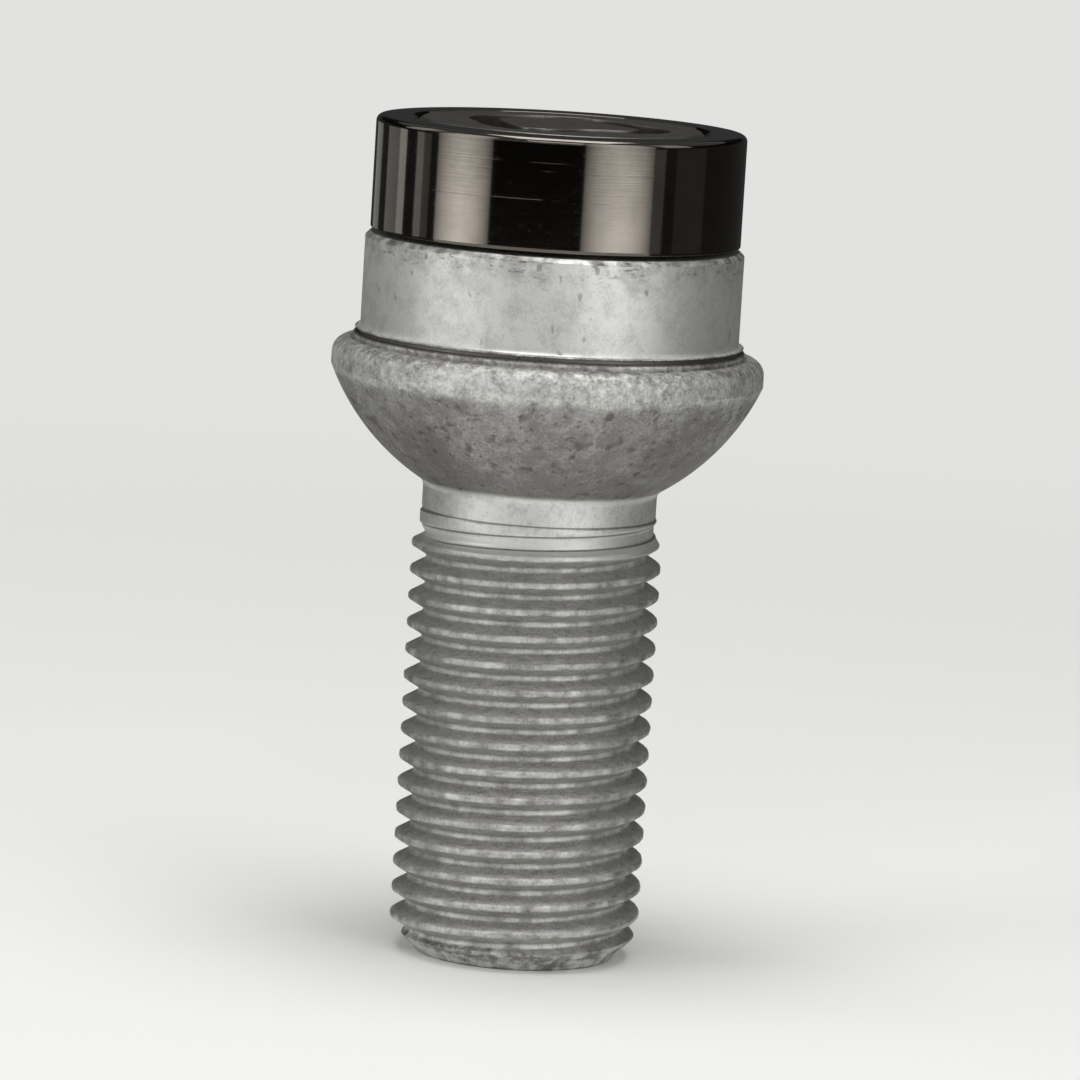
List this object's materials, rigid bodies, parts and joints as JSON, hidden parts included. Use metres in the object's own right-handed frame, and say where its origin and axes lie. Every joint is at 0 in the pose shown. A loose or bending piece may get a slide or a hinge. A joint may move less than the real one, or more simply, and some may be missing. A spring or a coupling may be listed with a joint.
{
  "type": "locking wheel bolt",
  "caption": "Locking wheel bolt with a threaded shank, a ball seat, a wavy key groove in the end of its head and a freely spinning collar round the head.",
  "frame": {"origin": "centre of the flat end of the shank, which the bolt stands on", "axes": "+Z along the bolt's axis from the end of the shank to the end of the head"},
  "size_m": [0.024, 0.024, 0.0465],
  "materials": {
    "zinc_flake": "satin, lightly rough zinc-flake coating",
    "black_chrome": "glossy black chrome",
    "spring_wire": "drawn wire"
  },
  "bodies": {
    "bolt": {"bolt": "zinc_flake", "retaining_ring": "spring_wire"},
    "collar": {"collar": "black_chrome"}
  },
  "joints": [
    {"name": "collar_spin", "type": "hinge", "parent": "bolt", "child": "collar", "pos_m": [0, 0, 0.0434], "axis": [0, 0, 1], "continuous": true}
  ]
}
